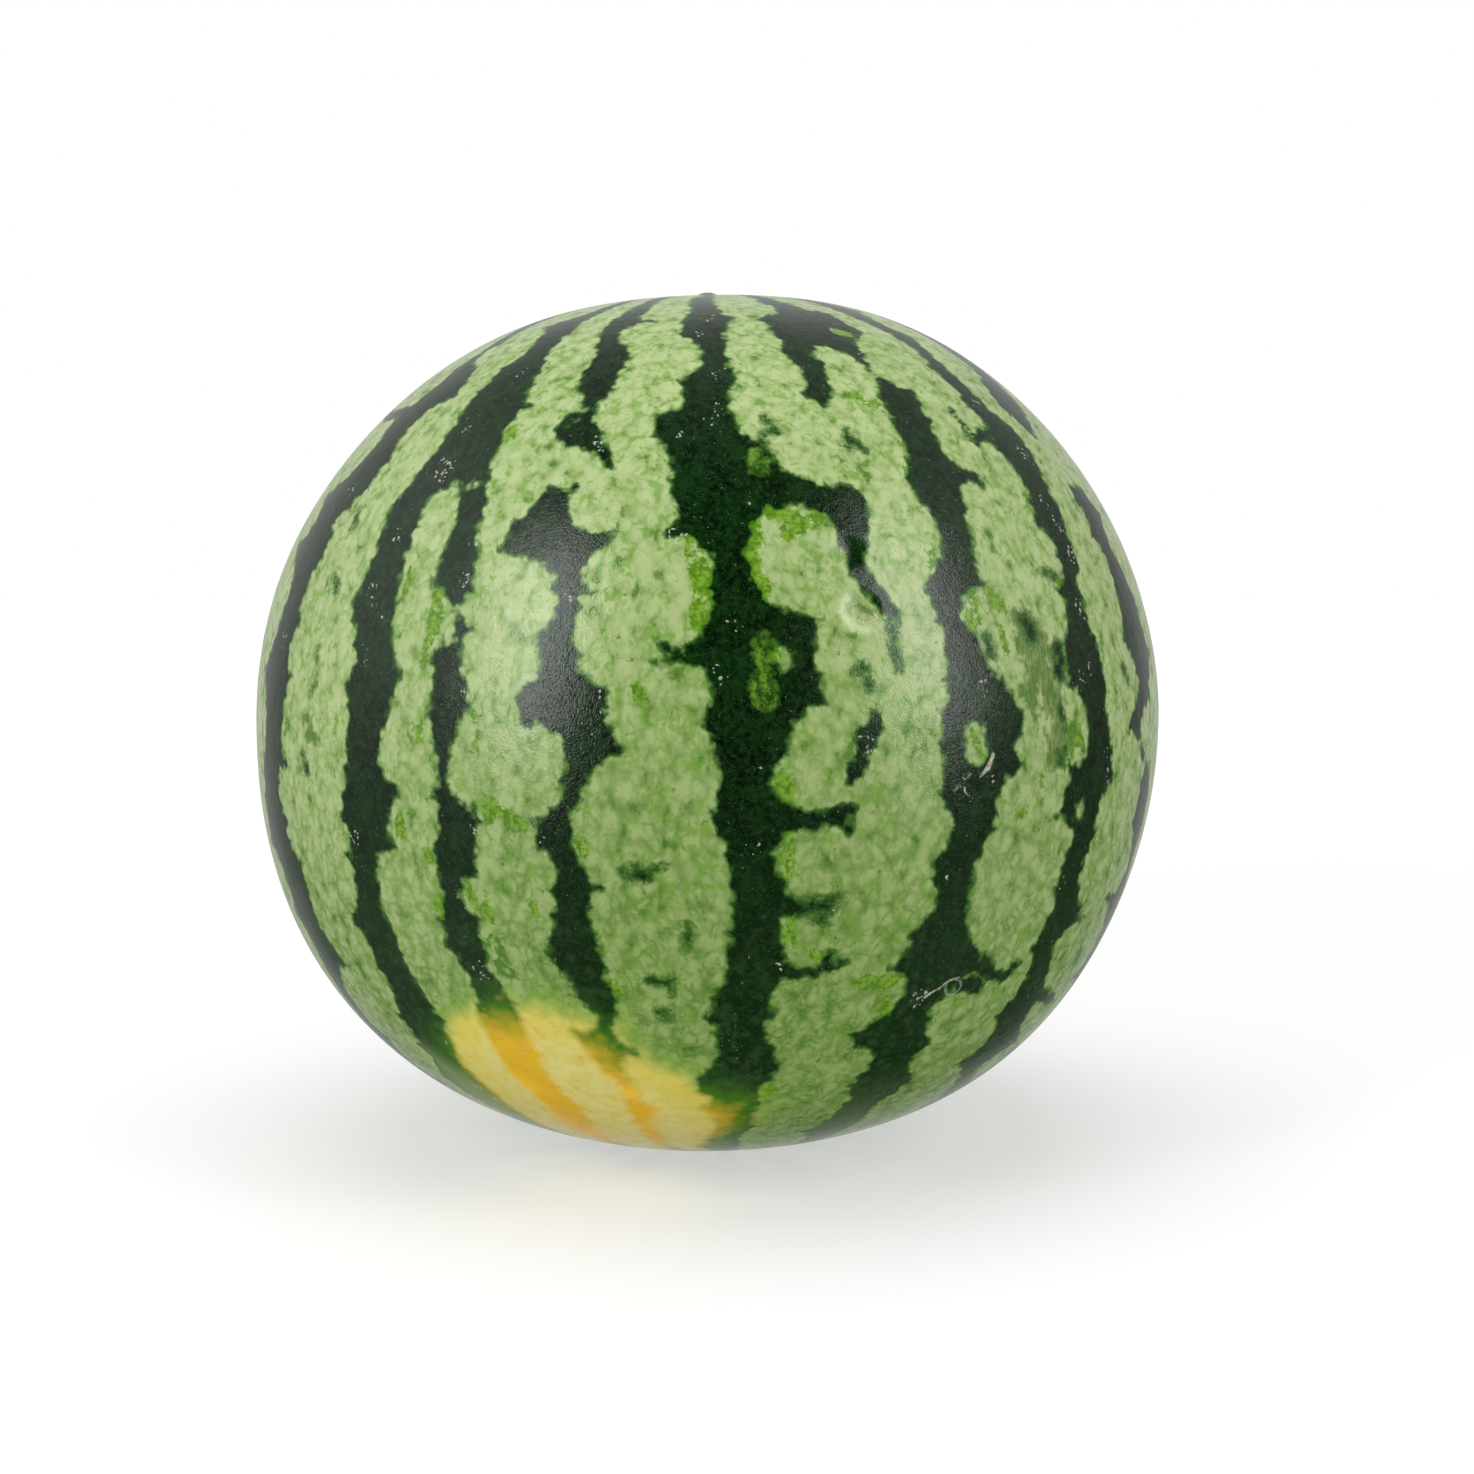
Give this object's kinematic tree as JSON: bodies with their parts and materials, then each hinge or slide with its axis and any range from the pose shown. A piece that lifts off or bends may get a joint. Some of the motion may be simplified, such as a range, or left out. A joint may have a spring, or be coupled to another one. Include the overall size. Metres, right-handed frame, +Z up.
{
  "type": "watermelon",
  "caption": "Whole round striped watermelon standing on its blossom end, with a stem scar on top and a pale ground spot low on one side.",
  "frame": {"origin": "middle of the flat spot that the fruit rests on, centred under its bounding box", "axes": "+Z up along the fruit's axis from the blossom end to the stem scar, -Y towards the front of the fruit, +X to the right seen from the front"},
  "size_m": [0.2404, 0.24, 0.228],
  "materials": {
    "rind": "natural waxy rind with a satin sheen: dark green stripes with scalloped edges on mottled light green, and a pale yellow ground spot"
  },
  "bodies": {
    "root": {"watermelon": "rind"}
  },
  "joints": []
}
